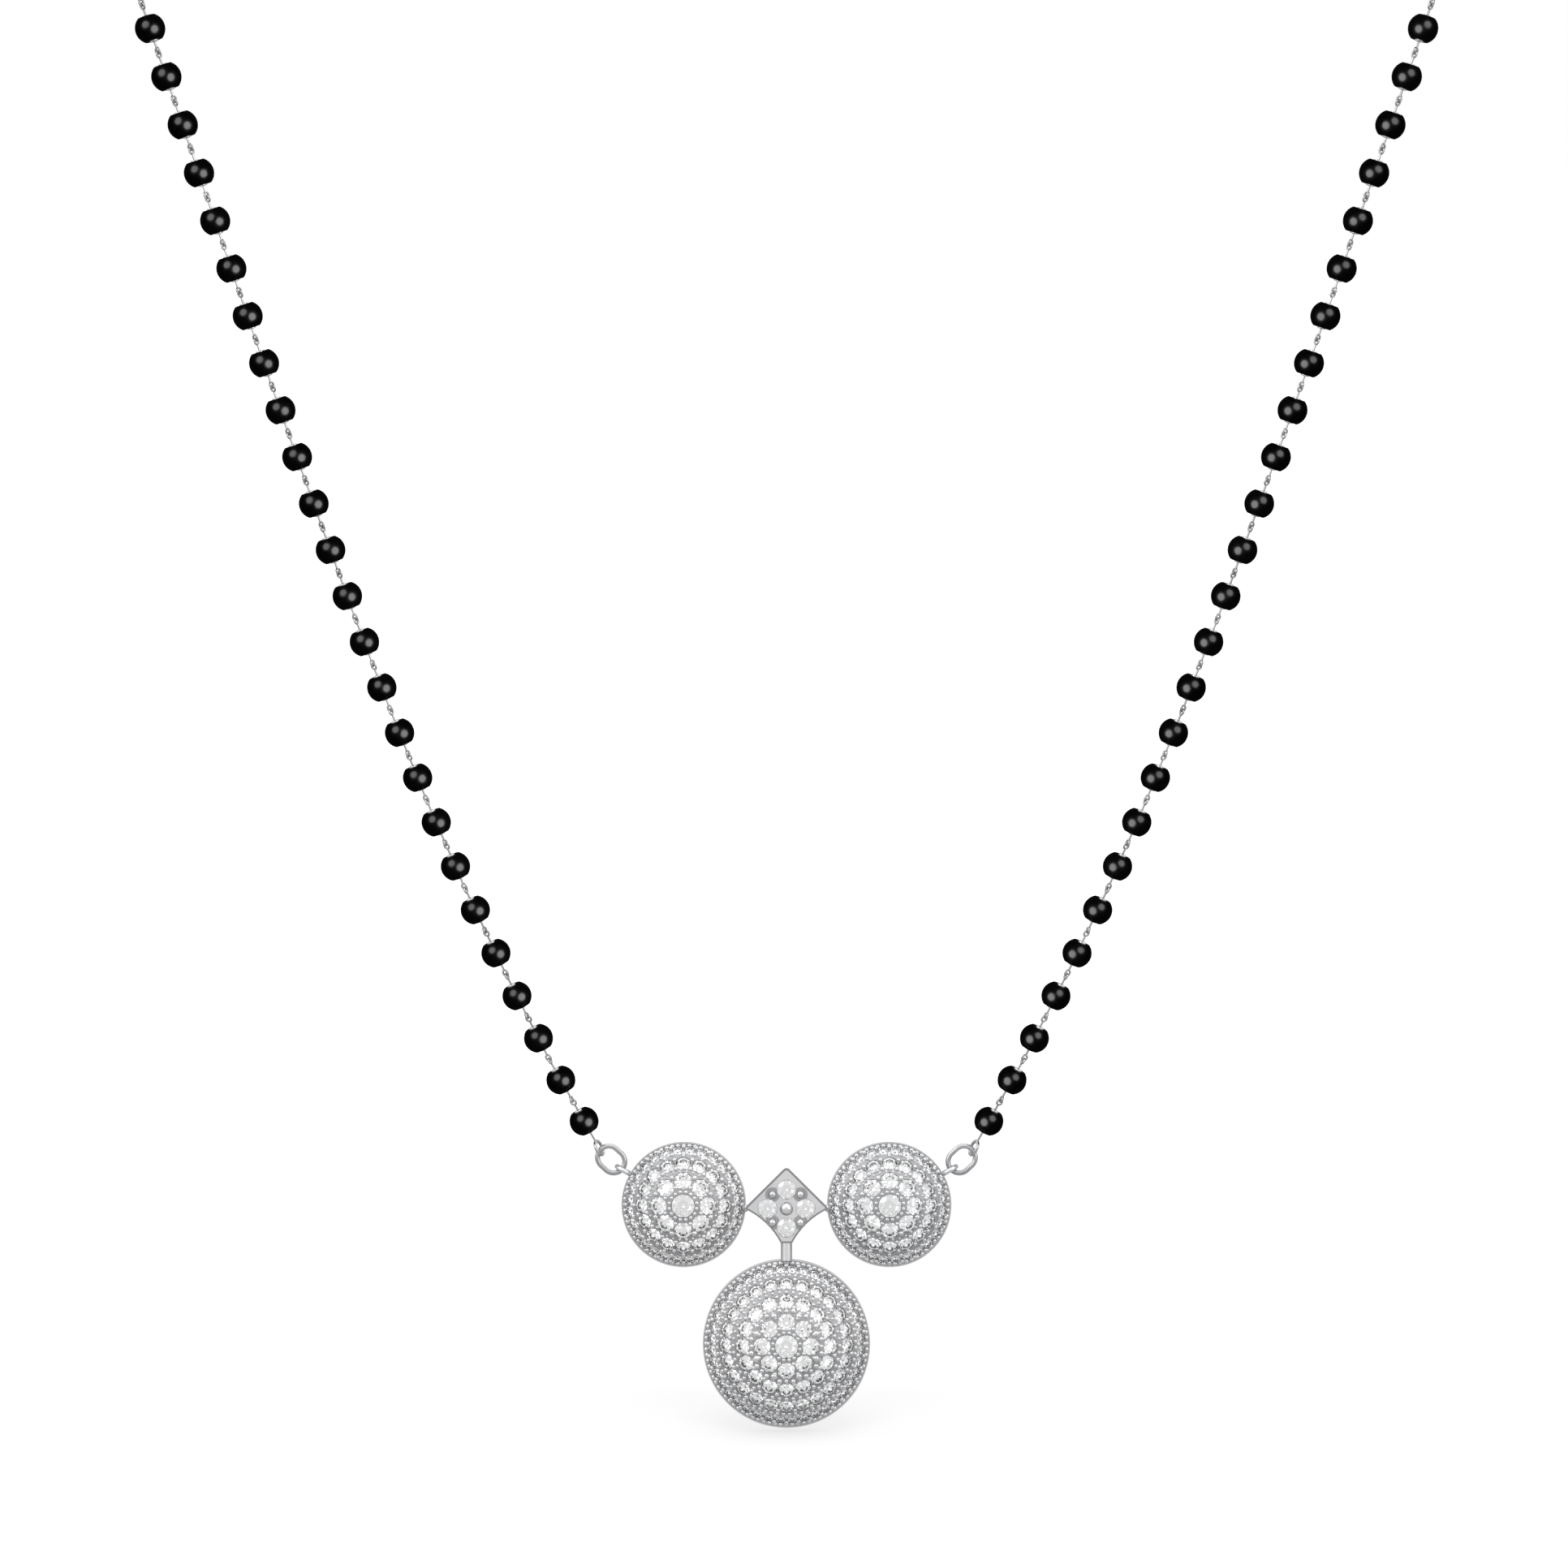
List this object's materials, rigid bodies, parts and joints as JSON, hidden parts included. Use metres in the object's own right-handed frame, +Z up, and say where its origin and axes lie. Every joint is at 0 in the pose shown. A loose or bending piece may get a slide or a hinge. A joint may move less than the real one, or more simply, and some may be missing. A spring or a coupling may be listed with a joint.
{
  "type": "mangalsutra necklace",
  "caption": "Short necklace of round black beads on linked wire, with a rigid pendant of three domed discs set with clear stones round a small rhombus.",
  "frame": {"origin": "middle of the clasp's barrel, where the back of the loop sits on the nape", "axes": "+Z up as worn, +Y towards the wearer's back, +X to the right as seen from the front"},
  "size_m": [0.1046, 0.0942, 0.1362],
  "materials": {
    "white_metal": "polished silver-white precious metal",
    "clear_stone": "clear colourless cut stone, bright in its metal seat",
    "black_bead": "glossy opaque black glass"
  },
  "bodies": {
    "root": {"pendant_frame": "white_metal", "left_jump_ring": "white_metal", "right_jump_ring": "white_metal", "left_link_wire": "white_metal", "right_link_wire": "white_metal", "clasp": "white_metal", "left_disc_centre_stone": "clear_stone", "right_disc_centre_stone": "clear_stone", "drop_disc_centre_stone": "clear_stone", "rhombus_stone_top": "clear_stone", "rhombus_stone_left": "clear_stone", "rhombus_stone_right": "clear_stone", "rhombus_stone_bottom": "clear_stone", "left_disc_ring_1": "clear_stone", "left_disc_ring_2": "clear_stone", "right_disc_ring_1": "clear_stone", "right_disc_ring_2": "clear_stone", "drop_disc_ring_1": "clear_stone", "drop_disc_ring_2": "clear_stone", "drop_disc_ring_3": "clear_stone", "left_beads": "black_bead", "right_beads": "black_bead"}
  },
  "joints": []
}
